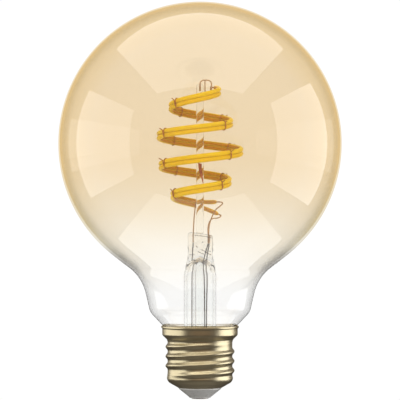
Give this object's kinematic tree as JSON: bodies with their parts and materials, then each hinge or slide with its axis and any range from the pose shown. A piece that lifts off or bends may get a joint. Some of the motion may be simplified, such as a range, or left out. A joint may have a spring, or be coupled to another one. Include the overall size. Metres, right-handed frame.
{
  "type": "smart light bulb",
  "caption": "Globe LED lamp with a clear-to-amber glass globe, spiral twin-strand filament on a glass post, and a bronze-finish screw cap with driver and radio inside.",
  "frame": {"origin": "middle of the end contact's flat face", "axes": "+Z along the lamp's axis from the contact to the globe's crown, +X and +Y square to it; the strands' lower ends are on the +X side"},
  "size_m": [0.1076, 0.1076, 0.1507],
  "materials": {
    "amber_glass": "clear, amber tint on the upper part",
    "clear_glass": "clear",
    "filament_coat_warm": "translucent silicone",
    "filament_coat_cool": "translucent silicone",
    "nickel_wire": "drawn wire",
    "copper_wire": "oxidised copper-clad wire",
    "cap_metal": "antique bronze, satin",
    "insulator": "matt",
    "contact_metal": "plated",
    "solder": "soft solder",
    "cement": "porous",
    "sleeve_film": "thin film",
    "board_green": "solder resist",
    "radio_board_blue": "solder resist",
    "shield_metal": "tin plated",
    "gold_trace": "gold flash",
    "tinned_metal": "tinned",
    "capacitor_sleeve": "shrink sleeve",
    "ferrite": "ferrite",
    "enamel_copper": "enamelled copper",
    "varistor_blue": "epoxy dip",
    "chip_black": "moulded",
    "chip_ceramic": "sintered",
    "resistor_body": "lacquer",
    "live_insulation": "sleeved",
    "neutral_insulation": "sleeved"
  },
  "bodies": {
    "root": {"glass_globe": "amber_glass", "glass_stem": "clear_glass", "exhaust_tube": "clear_glass", "centre_post": "clear_glass", "top_hook": "nickel_wire", "filament_warm": "filament_coat_warm", "filament_cool": "filament_coat_cool", "warm_end_tabs": "nickel_wire", "cool_end_tabs": "nickel_wire", "filament_ties": "copper_wire", "post_tag": "copper_wire", "common_inner_lead": "copper_wire", "warm_inner_lead": "copper_wire", "cool_inner_lead": "copper_wire", "seal_wires": "copper_wire", "common_outer_lead": "copper_wire", "warm_outer_lead": "copper_wire", "cool_outer_lead": "copper_wire", "cap_shell": "cap_metal", "cap_insulator": "insulator", "centre_contact": "contact_metal", "contact_solder": "solder", "cap_cement": "cement", "insulating_sleeve": "sleeve_film", "driver_board": "board_green", "radio_board": "radio_board_blue", "radio_shield": "shield_metal", "radio_antenna": "gold_trace", "radio_crystal": "shield_metal", "radio_pins": "gold_trace", "smoothing_capacitor": "capacitor_sleeve", "capacitor_leads": "tinned_metal", "inductor_core": "ferrite", "inductor_winding": "enamel_copper", "surge_varistor": "varistor_blue", "varistor_leads": "tinned_metal", "bridge_rectifier": "chip_black", "driver_chips": "chip_black", "chip_resistors": "chip_black", "chip_capacitors": "chip_ceramic", "fusible_resistor": "resistor_body", "fusible_leads": "tinned_metal", "live_lead": "live_insulation", "neutral_lead": "neutral_insulation", "neutral_solder": "solder"}
  },
  "joints": []
}
